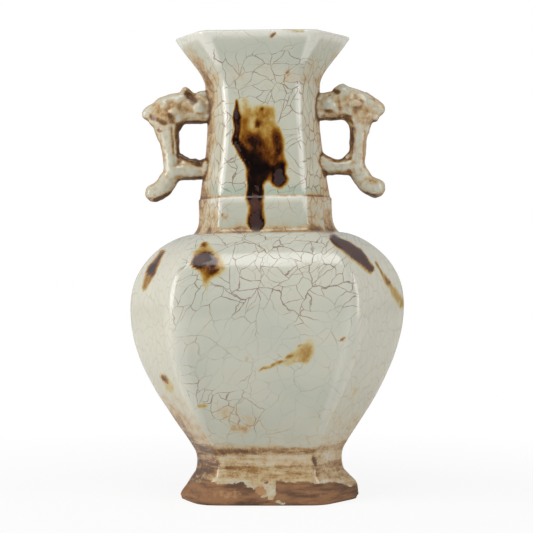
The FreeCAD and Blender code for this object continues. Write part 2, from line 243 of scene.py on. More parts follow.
def makeBody():
    bm = bmesh.new()
    girth = bm.verts.layers.float.new("girth")
    along = bm.verts.layers.float.new("along")
    across = bm.verts.layers.float.new("across")
    around = bm.verts.layers.float.new("around")
    places = ringPlaces()
    levels = profileLevels()
    middle = places.index((2, 0.5, False))
    ring = bmesh.ops.create_circle(bm, segments=len(places), radius=1)["verts"]
    edges = list({edge for vert in ring for edge in vert.link_edges})
    order = {vert: number for number, vert in enumerate(ring)}
    run = 0
    previous = None
    for number, level in enumerate(levels):
        if number:
            grown = bmesh.ops.extrude_edge_only(bm, edges=edges)["geom"]
            edges = [item for item in grown if isinstance(item, bmesh.types.BMEdge) and item.is_boundary]
            fresh = [item for item in grown if isinstance(item, bmesh.types.BMVert)]
            below = {}
            for vert in fresh:
                link = next(edge for edge in vert.link_edges if edge.other_vert(vert) in order)
                below[vert] = order[link.other_vert(vert)]
            order = below
        points = [planPoint(level, place) for place in places]
        lengths = [0]
        for here, there in zip(points, points[1:] + points[:1]):
            lengths.append(lengths[-1] + (there - here).length)
        front = points[middle]
        if previous is not None:
            run += math.hypot(level["height"] - previous[0], (front - previous[1]).length)
        previous = (level["height"], front)
        for vert, place in order.items():
            flat = points[place]
            vert.co = Vector((flat.x, flat.y, level["height"]))
            vert[girth] = place / len(places)
            vert[along] = run
            vert[across] = lengths[place] - lengths[middle]
            vert[around] = lengths[-1]
    return bm, edges




# Each handle is a row of clay strokes: x, z and radius at its start, then the same at its end, and
# how deep the stroke is from front to back over its height. They are mirrored for the left handle.
rightHandle = {
    "side": 1,
    "strokes": {
        "arm": (32, 253.4, 9.4, 45, 254, 9.8, 0.64),
        "neckOfHead": (45, 254, 9.8, 56, 255.4, 10.6, 0.68),
        "ear": (48.6, 263.6, 3.4, 52, 265.6, 3.4, 0.9),
        "cornerWeb": (55, 246.6, 3.2, 58.8, 242, 3.2, 0.9),
        "elbowWeb": (52, 218.4, 2.6, 55.4, 221.4, 2.6, 0.9),
        "rootWeb": (37, 220.4, 3, 34, 224, 3.4, 0.9),
        "crown": (53, 261.6, 6, 65, 257.4, 6.2, 0.95),
        "cheek": (58, 252, 9, 66, 250.6, 8.4, 0.85),
        "snout": (66, 253.6, 8.6, 74.4, 251.6, 5.2, 0.85),
        "brow": (65.5, 258.6, 2.8, 72.5, 255.6, 2.2, 1.9),
        "nose": (74.4, 252.4, 4.2, 75.4, 250.6, 3.5, 1.1),
        "lip": (66, 249, 5, 71.4, 246.6, 3.8, 1.1),
        "jaw": (63.4, 248, 8.6, 62, 239, 6.8, 0.95),
        "bar": (61.6, 239, 6.1, 60.4, 222, 5.6, 1),
        "elbow": (60.4, 222, 5.6, 59.6, 213, 5.8, 1),
        "foreArm": (60, 214.4, 5.9, 44, 214.2, 5.5, 1.05),
        "foreArmRoot": (45, 214.4, 5.6, 33, 216.6, 8, 0.85),
        "curl": (60, 212, 6, 65.8, 203, 6, 1),
        "curlEnd": (65.8, 203, 6.2, 72.2, 200, 6.6, 1.02),
    },
    "pats": {  # x, y, z, radius: small lumps pressed on or left by the fingers
        "cheekLump": (60, -6.6, 255, 3.4),
        "backCheekLump": (60, 6.6, 254, 3.6),
        "eyeRidge": (66.5, -4.4, 256, 2.8),
        "backEyeRidge": (66.5, 4.4, 256, 2.8),
        "armPad": (43, -3.2, 254.4, 5.6),
        "backArmPad": (43, 3.2, 254.4, 5.6),
    },
    "seed": 4,
}
leftHandle = {
    "side": -1,
    "strokes": {
        "arm": (32, 252.8, 9.2, 45, 253, 9.6, 0.64),
        "neckOfHead": (45, 253, 9.6, 56, 253.4, 10, 0.68),
        "ear": (47.6, 262, 3.4, 51, 264.6, 3.6, 0.9),
        "rootPad": (37, 263, 3, 42, 262.6, 2.4, 1.2),
        "cornerWeb": (54.4, 245.4, 3.2, 58, 240.6, 3.2, 0.9),
        "crown": (53, 259.6, 5.8, 66, 256, 6, 0.95),
        "cheek": (58, 250, 8.8, 67, 249.4, 8.2, 0.85),
        "snout": (66, 252, 8.2, 75, 251, 4.6, 0.85),
        "brow": (63, 259.4, 2.6, 66, 257.6, 2.6, 2.2),
        "nose": (74.6, 252, 3.8, 75.2, 250.4, 3.8, 1.1),
        "lip": (66, 248.6, 5, 71.6, 246.6, 4.2, 1.1),
        "jaw": (64.6, 246.6, 8.8, 62.6, 237, 7.6, 0.95),
        "bar": (62, 238, 7, 60.6, 222, 6, 1),
        "elbow": (60.6, 222, 6, 59.8, 212.4, 5.9, 1),
        "foreArm": (59.6, 213, 6, 44, 213, 5.8, 1.05),
        "foreArmRoot": (45, 213.4, 5.8, 33, 215.6, 8, 0.85),
        "curl": (59.6, 212, 6, 66.4, 202, 6.4, 1),
        "curlEnd": (66.4, 202, 6.4, 72.2, 199.2, 6.2, 1.02),
    },
    "pats": {
        "cheekLump": (58.4, -6.4, 252, 3.4),
        "backCheekLump": (59, 6.4, 252, 3.4),
        "eyeRidge": (65, -4.2, 254.6, 3),
        "backEyeRidge": (65, 4.2, 254.6, 3),
        "jawLump": (68.6, -3.6, 247, 3.4),
        "armPad": (42, -3, 253.4, 5.4),
        "backArmPad": (42, 3, 253.4, 5.4),
        "crust": (47, -3.4, 219, 2.6),
        "crustEdge": (44, -3.6, 218.8, 2),
        "crustDrop": (51, -3, 220, 2.8),
        "crustCrumb": (54, -2.4, 222.2, 2.6),
        "crustTop": (45, -1, 220.2, 1.7),
        "crustHeel": (52.6, 0, 219.6, 3.4),
    },
    "seed": 9,
}
handleClay = {
    "ballStep": 1.1,
    "voxel": 0.85,
    "smoothing": 5,
    "unevenness": 0.55,
}


def addBall(bm, place, radius, deep):
    size = Matrix.Diagonal((radius, radius * deep, radius, 1))
    bmesh.ops.create_icosphere(bm, subdivisions=2, radius=1, matrix=Matrix.Translation(place) @ size)


def newObject(bm, name):
    mesh = bpy.data.meshes.new(name)
    bm.to_mesh(mesh)
    bm.free()
    item = bpy.data.objects.new(name, mesh)
    bpy.context.scene.collection.objects.link(item)
    return item


def applyModifiers(item):
    graph = bpy.context.evaluated_depsgraph_get()
    mesh = bpy.data.meshes.new_from_object(item.evaluated_get(graph))
    item.modifiers.clear()
    item.data = mesh
    return item


def makeHandle(handle, name):
    bm = bmesh.new()
    side = handle["side"]
    for x, z, radius, endX, endZ, endRadius, deep in handle["strokes"].values():
        start = Vector((x, 0, z))
        end = Vector((endX, 0, endZ))
        count = max(math.ceil((end - start).length / handleClay["ballStep"]), 1)
        for step in range(count + 1):
            place = start.lerp(end, step / count)
            place.x *= side
            addBall(bm, place, blend(radius, endRadius, step / count), deep)
    for x, y, z, radius in handle["pats"].values():
        addBall(bm, Vector((x * side, y, z)), radius, 1)
    item = newObject(bm, name)
    remesh = item.modifiers.new("clay", "REMESH")
    remesh.mode = "VOXEL"
    remesh.voxel_size = handleClay["voxel"]
    applyModifiers(item)
    bm = bmesh.new()
    bm.from_mesh(item.data)
    for turn in range(handleClay["smoothing"]):
        bmesh.ops.smooth_vert(bm, verts=bm.verts, factor=0.5, use_axis_x=True, use_axis_y=True, use_axis_z=True)
    bm.normal_update()
    offset = Vector((0, 0, handle["seed"] * 10))
    for vert in bm.verts:
        bump = noise.noise(vert.co * 0.14 + offset) + 0.5 * noise.noise(vert.co * 0.33 + offset)
        vert.co += vert.normal * bump * handleClay["unevenness"]
    bm.to_mesh(item.data)
    bm.free()
    return item


def closeBody(bm, edges):
    bmesh.ops.edgeloop_fill(bm, edges=edges)
    rest = [edge for edge in bm.edges if edge.is_boundary]
    bmesh.ops.edgeloop_fill(bm, edges=rest)
    bmesh.ops.recalc_face_normals(bm, faces=bm.faces)


def nameAcross(bm):  # writes the pattern map: millimetres round the side and along it
    girth = bm.verts.layers.float["girth"]
    along = bm.verts.layers.float["along"]
    across = bm.verts.layers.float["across"]
    around = bm.verts.layers.float["around"]
    glaze = bm.loops.layers.uv.new("glaze")
    for face in bm.faces:
        shares = [vert[girth] for vert in face.verts]
        seam = max(shares) - min(shares) > 0.5
        for loop in face.loops:
            vert = loop.vert
            value = vert[across]
            if seam and vert[girth] < 0.5:
                value += vert[around]
            loop[glaze].uv = (value * mm, vert[along] * mm)


def joinClay(item, others):  # lutes the others on, so that all is one skin
    for other in others:
        union = item.modifiers.new("lute", "BOOLEAN")
        union.operation = "UNION"
        union.solver = "EXACT"
        union.object = other
    applyModifiers(item)
    for other in others:
        bpy.data.objects.remove(other)


def softenSeams(bm, rings, factor):  # rounds the clay where the handles are luted on
    seam = {vert for vert in bm.verts if len({face.material_index for face in vert.link_faces}) > 1}
    for turn in range(rings):
        near = {edge.other_vert(vert) for vert in seam for edge in vert.link_edges}
        seam |= near
    verts = list(seam)
    for turn in range(4):
        bmesh.ops.smooth_vert(bm, verts=verts, factor=factor, use_axis_x=True, use_axis_y=True, use_axis_z=True)


def measureHollows(bm, turns):  # how deep each vertex lies in a hollow, in millimetres
    before = [vert.co.copy() for vert in bm.verts]
    normals = [vert.normal.copy() for vert in bm.verts]
    for turn in range(turns):
        bmesh.ops.smooth_vert(bm, verts=bm.verts, factor=0.5, use_axis_x=True, use_axis_y=True, use_axis_z=True)
    depths = [(vert.co - place).dot(normal) for vert, place, normal in zip(bm.verts, before, normals)]
    for vert, place in zip(bm.verts, before):
        vert.co = place
    return depths


def setField(mesh, name, values):
    field = mesh.attributes.new(name, "FLOAT", "POINT")
    field.data.foreach_set("value", np.asarray(values, dtype=np.float32))


glaze = {"thickness": 0.5, "ironThickness": 0.35}

# Marks of the kiln on the glaze, as strokes seen from the front in millimetres: x, height and radius
# at one end, the same at the other end, how soft the edge is, and how much iron lies there.
ironStrokes = {
    "splashVeil": (-7, 246, 7, 0, 232, 9.6, 7, 0.13),
    "splashTip": (-14.4, 255.6, 2.2, -13.4, 247, 4.4, 5, 0.2),
    "splashCrown": (-5, 249, 2, 3, 248.2, 3, 5, 0.14),
    "splashBack": (-1, 246, 6.4, 1.6, 231, 8.6, 5, 0.19),
    "splashLeft": (-15, 241, 3, -11.6, 226, 6, 6, 0.42),
    "splashMiddle": (-8, 230, 5, -2.4, 218, 9.6, 9, 0.6),
    "splashFoot": (-8, 220, 4.6, -4.8, 209, 7.2, 6, 0.86),
    "splashRight": (6.6, 236, 2.6, 9.4, 214, 3.6, 4, 0.44),
    "splashDeep": (-9, 218, 4, -6, 207, 5.4, 4, 0.98),
    "leftStreak": (-19.1, 255.6, 0.4, -19, 245, 2.5, 2, 0.8),
    "leftStreakLow": (-19, 245, 2.4, -19.4, 230, 1.9, 2, 0.84),
    "leftStreakFoot": (-19.2, 230, 1.9, -10.6, 216, 3, 2.4, 0.92),
    "trunk": (-7.2, 209, 4.4, -6.8, 196, 4.6, 1.8, 1),
    "bridge": (-2, 212.4, 3, 6, 211, 2.6, 2.6, 0.9),
    "blob": (8.4, 213.5, 2.4, 8.2, 206.6, 4.6, 1.8, 0.9),
    "blobRim": (8.3, 213, 3.4, 8.2, 206.4, 6.2, 2.2, 0.36),
    "redStreak": (5.8, 234, 1.2, 7.6, 224, 2.4, 2.4, 0.46),
    "spotHigh": (-2.2, 250.4, 0.7, -1.8, 250, 0.7, 1.6, 0.5),
    "spotLow": (-5.5, 241.6, 1.4, -5.4, 240.6, 1.4, 2.4, 0.62),
    "trunkRim": (-7, 200, 5.6, -6.7, 178, 5.6, 2.4, 0.26),
    "collarDrip": (-6.8, 194, 4.2, -6.6, 181, 4.2, 2.2, 0.56),
    "collarNeck": (-6.9, 181, 3.6, -6.5, 179, 3.8, 1.6, 0.8),
    "drop": (-6.6, 178.4, 4.4, -6.2, 176.2, 4.4, 1.5, 0.86),
    "leftSpot": (-42, 153.4, 3.8, -37.6, 155.8, 3.8, 1.8, 0.9),
    "leftSpotHalo": (-38, 158, 5.6, -32.8, 149.8, 7.2, 6, 0.22),
    "leftSpotRim": (-40, 155, 5.4, -35, 150.4, 6, 3, 0.27),
    "leftSpotTail": (-37.4, 148, 3.8, -37.6, 136, 0.4, 3.6, 0.3),
    "leftSpotHigh": (-39.8, 163.2, 1.2, -38.6, 163.4, 1, 2, 0.6),
    "leftSpotRight": (-33.4, 152.8, 1.9, -32.6, 150.6, 1.4, 2, 0.78),
    "leftSpotLow": (-34, 146.4, 1.2, -31, 147.2, 1.1, 2, 0.7),
    "rightShoulder": (42, 167.8, 3, 57, 158.4, 4.2, 1.8, 0.84),
    "rightShoulderTail": (57, 158.4, 4.2, 65.6, 149, 1.8, 1.8, 0.84),
    "rightShoulderRim": (45, 165, 3.4, 64, 149.6, 3.6, 2.6, 0.24),
    "rightLine": (69.4, 153, 0.6, 78, 140, 1.4, 1.8, 0.5),
    "rightTail": (77, 141, 1.4, 87.4, 126, 3.2, 3.4, 0.24),
    "leftBelly": (-67.6, 159.6, 1.6, -73.6, 147, 2.6, 2.4, 0.7),
    "leftBellyTail": (-73, 149, 3.2, -77.4, 137.4, 2.4, 3, 0.36),
    "lowLeft": (-64.8, 79.6, 1.7, -63.8, 78, 1.7, 2.4, 0.6),
    "lowLeftHalo": (-64.6, 79.6, 3.4, -61.4, 73.4, 4, 4.4, 0.16),
    "fleck": (-42.4, 63.4, 0.5, -37.6, 64.2, 0.7, 1.6, 0.42),
    "fleckTail": (-41.8, 63, 1, -41.6, 58, 0.8, 3, 0.1),
    "smearTail": (-4, 86.4, 0.8, 9, 91, 0.8, 1.8, 0.36),
    "smear": (10, 92, 1.4, 24.6, 97, 5.4, 4.4, 0.16),
    "smearTop": (24, 97, 4.2, 27.4, 103.8, 2, 3.6, 0.14),
    "smearEdge": (8, 90.6, 0.6, 26, 91.4, 0.8, 2, 0.2),
    "smearDotA": (26.2, 106.4, 0.6, 26.4, 106.2, 0.6, 1.6, 0.5),
    "smearDotB": (21.4, 102, 0.8, 21.6, 101.6, 0.8, 1.8, 0.5),
    "smearDotC": (13.6, 94.8, 0.9, 14.4, 95.2, 0.9, 1.8, 0.5),
    "rimWear": (11, 298.6, 0.7, 23, 298.6, 0.9, 2.4, 0.2),
    "rightFleck": (53.4, 66, 1.4, 56.6, 74, 1.6, 3.2, 0.13),
}
backStrokes = {  # a few smaller marks of the same kind on the back, which the photograph does not show
    "backSpot": (30, 152, 3.6, 33, 149, 3.2, 2.4, 0.8),
    "backSpotHalo": (30, 152, 6.4, 32, 143, 5, 5, 0.3),
    "backStreak": (-48, 166, 1.2, -58, 150, 2.4, 2.4, 0.5),
    "backNeck": (9, 236, 1.4, 8, 224, 2.4, 3, 0.44),
    "backSmear": (-20, 92, 1, -9, 96, 3.4, 3, 0.26),
}
crystalStrokes = {  # where the iron is thick enough to turn to a dull, grey-purple skin
    "leftStreak": (-19.1, 253, 0.7, -19, 245, 1.7, 2.6, 0.75),
    "leftStreakLow": (-19, 243, 1.2, -19.2, 231, 1, 2.2, 0.5),
    "leftStreakEdge": (-19.4, 228.6, 0.9, -11.4, 215, 1.2, 1.6, 0.7),
    "trunkFoot": (-6, 202, 1.6, -6.9, 198, 2.8, 2.4, 0.45),
    "blob": (8.3, 209, 3.2, 8.2, 206.4, 4.2, 1.8, 0.95),
    "collar": (-6.8, 192.6, 3, -6.6, 182, 3.4, 2.4, 0.75),
    "drop": (-6.6, 178.6, 3.8, -6.2, 176.4, 3.9, 1.6, 0.9),
    "leftSpot": (-42, 153.8, 3.2, -38, 155.8, 3.2, 1.6, 0.95),
    "rightShoulder": (42.4, 167.6, 2.4, 57, 158.6, 3.6, 1.6, 1),
    "rightShoulderTail": (57, 158.6, 3.6, 65, 149.8, 1.4, 1.6, 1),
    "leftBelly": (-68, 158.6, 1, -72.4, 149, 1.6, 1.8, 0.7),
}


def strokeAmounts(across, up, strokes):  # how much of each stroke lies at every vertex, together
    left = np.ones(len(across))
    for x, z, radius, endX, endZ, endRadius, soft, amount in strokes.values():
        alongX, alongZ = endX - x, endZ - z
        length = max(alongX**2 + alongZ**2, 1e-6)
        share = np.clip(((across - x) * alongX + (up - z) * alongZ) / length, 0, 1)
        distance = np.hypot(across - x - share * alongX, up - z - share * alongZ)
        distance -= radius + (endRadius - radius) * share
        inside = np.clip(0.5 - distance / soft, 0, 1)
        left *= 1 - amount * inside * inside * (3 - 2 * inside)
    return 1 - left


def smoothSteps(start, end, values):
    share = np.clip((values - start) / (end - start), 0, 1)
    return share * share * (3 - 2 * share)


def bump(middle, width, values):
    return np.exp(-((values - middle) / width) ** 2)


def paintFields(item, hollows, onHandle, seams):
    mesh = item.data
    count = len(mesh.vertices)
    places = np.empty(count * 3)
    normals = np.empty(count * 3)
    mesh.vertices.foreach_get("co", places)
    mesh.vertices.foreach_get("normal", normals)
    x, y, z = places.reshape(-1, 3).T / mm
    normalX, normalY, normalZ = normals.reshape(-1, 3).T
    outside = np.where((x * normalX + y * normalY > -2) | (z > 297) | (np.asarray(onHandle) > 0), 1.0, 0.0)
    front = outside * smoothSteps(0.02, 0.2, -normalY) * (1 - np.asarray(onHandle))
    back = outside * smoothSteps(0.02, 0.2, normalY) * (1 - np.asarray(onHandle))
    # the strokes wander a little, as glaze does where it runs
    wander = [noise.noise_vector(Vector(place) / 8) for place in zip(x, y, z)]
    wanderX, wanderZ = np.array([(step.x, step.z) for step in wander]).T * 1.5
    ranX, ranZ = x + wanderX, z + wanderZ
    iron = strokeAmounts(ranX, ranZ, ironStrokes) * front + strokeAmounts(ranX, ranZ, backStrokes) * back
    setField(mesh, "iron", iron)
    setField(mesh, "crystals", strokeAmounts(ranX, ranZ, crystalStrokes) * front)
    hollows = np.asarray(hollows)
    setField(mesh, "hollow", hollows)
    setField(mesh, "handle", onHandle)
    # the side panels, which the glaze paints lighter and creamier as painted light, and which get their own crackle
    side = smoothSteps(0.35, 0.7, np.abs(normalX)) * (1 - np.asarray(onHandle))
    setField(mesh, "side", side + 0.8 * np.asarray(onHandle))
    edge = 14.2 - 4.4 * smoothSteps(36, 56, np.abs(x)) + 0.8 * np.sin(x * 0.09 + 1) + 0.5 * np.sin(x * 0.31)
    clay = np.clip((edge - z) / 2 + 0.5, 0, 1)
    glazed = strokeAmounts(x, z, foot["glazeOverlap"]) * front
    bare = strokeAmounts(x, z, foot["chips"]) * front
    clay = np.maximum(clay * (1 - glazed), bare)
    setField(mesh, "clay", clay)
    # the thick iron glaze stands proud, and the bare clay lies a glaze's thickness lower
    proud = glaze["ironThickness"] * np.clip(iron, 0, 1) - glaze["thickness"] * clay * outside
    proud *= (1 - np.abs(normalZ)) * (1 - np.asarray(onHandle))
    mesh.vertices.foreach_set("co", places + normals * np.repeat(proud, 3) * mm)
    setField(mesh, "ochre", strokeAmounts(x, z, foot["ochre"]) * front)
    # brown stain with painted shade: dirt, worn glaze and dark seams, and painted shade in the hollows and on the
    # handles
    stainAndShade = stainAndShadeAmounts(x, z, (normalX, normalY, normalZ), hollows, np.asarray(onHandle), side)
    facing = smoothSteps(-0.1, 0.2, -normalY)
    stainAndShade = stainAndShade + 1.3 * strokeAmounts(x, z, stainAndShadeStrokes) * (facing + 0.6 * (1 - facing) * np.asarray(onHandle))
    stainAndShade = stainAndShade + 0.9 * np.asarray(seams)
    setField(mesh, "stainAndShade", stainAndShade * outside)
    # pale rounded edges, strongest on the neck: thin glaze drawn back from the edges, and painted highlight strips
    # along the panel edges
    edges = smoothSteps(0.01, 0.07, -hollows) * (1 - np.asarray(onHandle)) * smoothSteps(40, 60, z)
    edges *= 0.35 + 0.65 * smoothSteps(172, 182, z)
    setField(mesh, "paleEdgeAndHighlight", edges * outside * (1 - smoothSteps(0.1, 0.4, stainAndShade) * 0.6))
    net = 0.12 + 0.88 * smoothSteps(108, 142, z) * (1 - smoothSteps(172, 176, z))
    net = np.where(z > 176, 0.1 + 0.7 * smoothSteps(194, 200, z) + 0.15 * smoothSteps(235, 255, z), net)
    net *= 1 - smoothSteps(280, 290, z)
    net += strokeAmounts(x, z, {"cluster": (-46, 74, 5, -14, 54, 7, 14, 0.75)}) * front
    setField(mesh, "net", net)
    sideNet = 0.26 + 0.74 * smoothSteps(174, 180, z) * (1 - smoothSteps(270, 290, z))
    setField(mesh, "sideNet", sideNet * outside)
    setField(mesh, "low", 1 - smoothSteps(36, 60, z))
    setField(mesh, "pool", front * (bump(198.5, 3.4, z) + 0.4 * bump(176.5, 2.6, z) + 0.3 * bump(287, 9, z)))


stainAndShadeStrokes = {  # dirt and worn glaze seen from the front, in the same form as the iron; the dark lines along the handles' undersides, inner bar edges, notches and pits are painted shade
    "rightNotch": (42.4, 265.6, 1, 46.4, 263.6, 1.4, 2.4, 0.9),
    "rightPadSeam": (46.4, 262, 0.6, 47.6, 250, 0.8, 2.4, 0.4),
    "rightPadFoot": (38, 244.6, 1, 47, 245.4, 1, 2.4, 0.5),
    "rightCheek": (58, 254, 3, 64, 249, 3.4, 9, 0.3),
    "rightChin": (60, 245, 2, 70, 243.6, 1.6, 4, 0.3),
    "rightSnout": (70, 256, 1.4, 77, 253, 1.4, 4, 0.16),
    "rightBarInner": (56.6, 240, 0.8, 56, 224, 0.8, 2.4, 0.75),
    "rightBarOuter": (63.6, 238, 0.6, 62.4, 220, 0.6, 2, 0.55),
    "rightPit": (37, 212.4, 1.2, 38, 211, 1.4, 1.6, 1),
    "rightArmSpot": (53.4, 212.6, 0.8, 54, 212.4, 0.8, 1.6, 0.8),
    "rightArmFoot": (40, 208.4, 0.8, 52, 207.6, 0.8, 2, 0.7),
    "rightCurlTop": (66.4, 206.4, 1.2, 71, 205, 1.2, 3, 0.45),
    "rightCurlFoot": (63, 197, 1, 72, 194.8, 1, 2.6, 0.6),
    "leftNotch": (-52, 263.4, 2, -47.4, 258, 2.2, 3, 0.95),
    "leftNotchEdge": (-46, 264, 1, -42, 265.6, 0.8, 2, 0.8),
    "leftSmudge": (-60, 254.4, 2.4, -50.6, 251, 2.6, 7, 0.42),
    "leftCheek": (-70, 253, 3, -64, 247, 3.4, 8, 0.34),
    "leftEye": (-62.4, 248, 1.4, -61, 244, 1.4, 2.4, 0.7),
    "leftMouth": (-75, 247.6, 1.2, -66, 243, 1.6, 2.6, 0.8),
    "leftMouthDot": (-73.6, 246.4, 1, -73, 246, 1, 1.6, 0.9),
    "leftJawDot": (-70.4, 238.6, 0.8, -68.4, 238, 0.8, 1.6, 0.9),
    "leftArmFoot": (-52, 243.4, 1, -38, 243.6, 1, 2.4, 0.75),
    "leftBarGroove": (-61.4, 240, 0.6, -60.4, 224, 0.6, 2, 0.6),
    "leftBarInner": (-56, 240, 1, -55.4, 226, 1, 2.4, 0.7),
    "leftCrust": (-56, 222.4, 2.4, -44, 217.4, 2.6, 2.6, 1),
    "leftArmEdge": (-52, 206.6, 1, -40, 207.6, 1, 2.4, 0.8),
    "leftCurlFoot": (-72, 193.4, 1.2, -58, 199.6, 1.2, 2.6, 0.85),
    "collarMark": (-28, 183, 0.5, -25, 180, 0.7, 1.4, 0.8),
    "collarMarkTop": (-28, 179, 0.4, -24.6, 183.4, 0.4, 1.2, 0.6),
    "lowCluster": (-26, 60, 3, -12, 54, 4, 10, 0.2),
    "lowClusterCore": (-20, 49, 2, -14, 47.4, 2.4, 6, 0.4),
    "speckOne": (26.6, 125.8, 0.5, 26.8, 125.6, 0.5, 0.8, 1.4),
    "speckTwo": (47.4, 106, 0.5, 47.6, 105.8, 0.5, 0.8, 1.4),
    "speckThree": (-12.8, 93.9, 0.4, -11, 93.7, 0.4, 0.8, 1.4),
    "speckFour": (-11.6, 92.4, 0.4, -11.3, 92.2, 0.4, 0.8, 1.2),
    "waistHook": (29.4, 29.4, 0.9, 31, 25.6, 0.8, 1.2, 1.1),
    "waistHookTail": (31, 26, 1.2, 32, 18, 1.1, 2.4, 0.35),
    "rimSpot": (3, 295.4, 0.7, 4.6, 296.2, 0.7, 1.6, 1),
    "star": (12.6, 273.6, 0.4, 13.6, 273, 0.6, 1.4, 0.6),
}


def stainAndShadeAmounts(x, z, normals, hollows, onHandle, side):
    normalX, normalY, normalZ = normals
    reach = np.abs(x)
    width = np.interp(z, [level[0] for level in body["levels"]], [level[1] for level in body["levels"]]) / 2
    offHandle = 1 - onHandle
    atEdge = smoothSteps(0.8, 1, reach / width) * offHandle
    onNeck = smoothSteps(176, 200, z) * (1 - smoothSteps(284, 296, z))
    # darker in the hollows and creases of the body: painted shade, with brown dirt
    amount = np.clip(hollows * 1.4, 0, 0.6) * offHandle * np.where((x > 0) & (z < 40), 0.3, 1)
    amount += atEdge * 0.5 * onNeck + side * 0.07 * onNeck
    amount += side * 0.3 * bump(184, 10, z)
    low = 1 - smoothSteps(34, 84, z)
    worn = np.where(x > 0, 0.25, 1)
    amount += offHandle * low * (0.12 + worn * (0.46 * atEdge + 0.3 * side))
    amount += offHandle * (0.17 + 0.2 * side * worn) * (1 - smoothSteps(32, 42, z))
    bands = 0.56 * bump(33.8, 1.9, z) + 0.5 * bump(22.8, 1.6, z) + 0.2 * bump(17, 3, z)
    amount += bands * (1 - 0.6 * side * (x > 0))
    amount += 0.34 * bump(174.6, 1.2, z) + 0.2 * side * bump(195, 1.2, z)
    # the handles are painted darker all over, in their hollows, on their undersides and on the faces turned from the
    # front: painted shade, with brown dirt in the hollows
    amount += onHandle * (0.26 + np.clip(hollows * 2.2, -0.2, 0.7))
    amount += onHandle * 0.65 * smoothSteps(0.4, 0.9, -normalZ)
    amount += onHandle * 0.55 * (1 - smoothSteps(0.2, 0.8, np.abs(normalY)))
    # painted shade, with some brown dirt, on the clay that faces into the finger holes
    inward, rise = np.sign(x) * 45 - x, 232 - z
    distance = np.hypot(inward, rise)
    facing = (inward * normalX + rise * normalZ) / distance
    amount += onHandle * 0.9 * smoothSteps(0.45, 0.85, facing) * (1 - smoothSteps(18, 28, distance))
    return np.clip(amount, 0, 1.2)


foot = {  # strokes on the front of the foot, in the same form as the marks on the glaze
    "glazeOverlap": {  # tongues of glaze that ran down over the clay
        "tongue": (-12, 14, 2, 1, 10, 3, 1.6, 1),
        "tongueDrop": (3.4, 13, 2.6, 3.6, 7.4, 2.4, 1.4, 1),
        "tongueEdge": (-3, 6.4, 0.7, 10.6, 1.4, 0.8, 1.2, 1),
    },
    "chips": {"bareSpot": (-4.6, 9.8, 2.2, -1.6, 9.2, 1.6, 1.2, 1)},
    "ochre": {
        "patch": (-33, 7.4, 2.6, -18, 7, 2.6, 3, 0.5),
        "bareSpot": (-5, 9.8, 2.4, -1.4, 9.2, 2, 1.4, 1),
        "right": (24, 8, 2, 34, 6, 2.4, 5, 0.35),
    },
}


def buildVase():
    bm, edges = makeBody()
    closeBody(bm, edges)
    nameAcross(bm)
    item = newObject(bm, "celadonVase")
    print("handles")
    handles = (makeHandle(rightHandle, "rightHandle"), makeHandle(leftHandle, "leftHandle"))
    for other, index in ((item, 0), (handles[0], 1), (handles[1], 1)):
        for name in ("body", "handle"):
            other.data.materials.append(bpy.data.materials.get(name) or bpy.data.materials.new(name))
        other.data.polygons.foreach_set("material_index", [index] * len(other.data.polygons))
    joinClay(item, handles)
    bm = bmesh.new()
    bm.from_mesh(item.data)
    softenSeams(bm, 1, 0.5)
    bm.normal_update()
    hollows = measureHollows(bm, 8)
    onHandle = [float(any(face.material_index for face in vert.link_faces)) for vert in bm.verts]
    seams = [float(len({face.material_index for face in vert.link_faces}) > 1) for vert in bm.verts]
    for turn in range(2):
        around = [[edge.other_vert(vert).index for edge in vert.link_edges] for vert in bm.verts]
        seams = [max(seam, 0.55 * max(seams[i] for i in near)) for seam, near in zip(seams, around)]
    for vert in bm.verts:
        vert.co = handMade(vert.co)
    bmesh.ops.scale(bm, vec=(mm, mm, mm), verts=bm.verts)
    for face in bm.faces:
        face.material_index = 0
        face.smooth = True
    bm.to_mesh(item.data)
    bm.free()
    item.data.materials.clear()
    for name in ("girth", "along", "across", "around"):
        item.data.attributes.remove(item.data.attributes[name])
    paintFields(item, hollows, onHandle, seams)
    return item


vase = buildVase()
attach(vase, "root")
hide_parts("vase")

# Camera, at eye level with the middle of the vase.
view = {
    "distance": 1014,
    "height": 150.3,
    "across": 0,
    "pixelSize": 0.6512,  # millimetres at the middle of the vase for each of the picture's pixels
    "picture": 533,
    "sensor": 36,
}
camera = bpy.data.objects.new("camera", bpy.data.cameras.new("camera"))
camera.location = (view["across"] * mm, -view["distance"] * mm, view["height"] * mm)
camera.rotation_euler = (math.pi / 2, 0, 0)
camera.data.sensor_width = view["sensor"]
camera.data.lens = view["distance"] / view["pixelSize"] * view["sensor"] / view["picture"]
camera.data.clip_end = 20
bpy.context.scene.collection.objects.link(camera)
bpy.context.scene.camera = camera

# White room: the camera sees white, the floor keeps the shadow, and softboxes light the glaze.
room = {
    "floorWidth": 60,
    "floorColour": (0.93, 0.93, 0.93, 1),
    "floorGlow": (0.86, 1),  # how much of the floor that the camera sees is plain white, near and far
    "shadowReach": (0.16, 0.42),
    "ambient": 0.46,
    "mirrored": (-0.55, 0.25, 0.06, 0.62),  # the room that the glaze mirrors is dark behind the camera
    "softboxes": {  # place, size across and up, watts
        "leftBox": ((-1.25, -0.5, 0.34), (0.72, 1.3), 13.5),
        "rightBox": ((1.2, -0.56, 0.34), (0.5, 1.3), 6.6),
        "topBox": ((-0.1, -0.9, 1.6), (1.1, 0.6), 8.4),
    },
    "aim": (0, 0, 0.15),
}


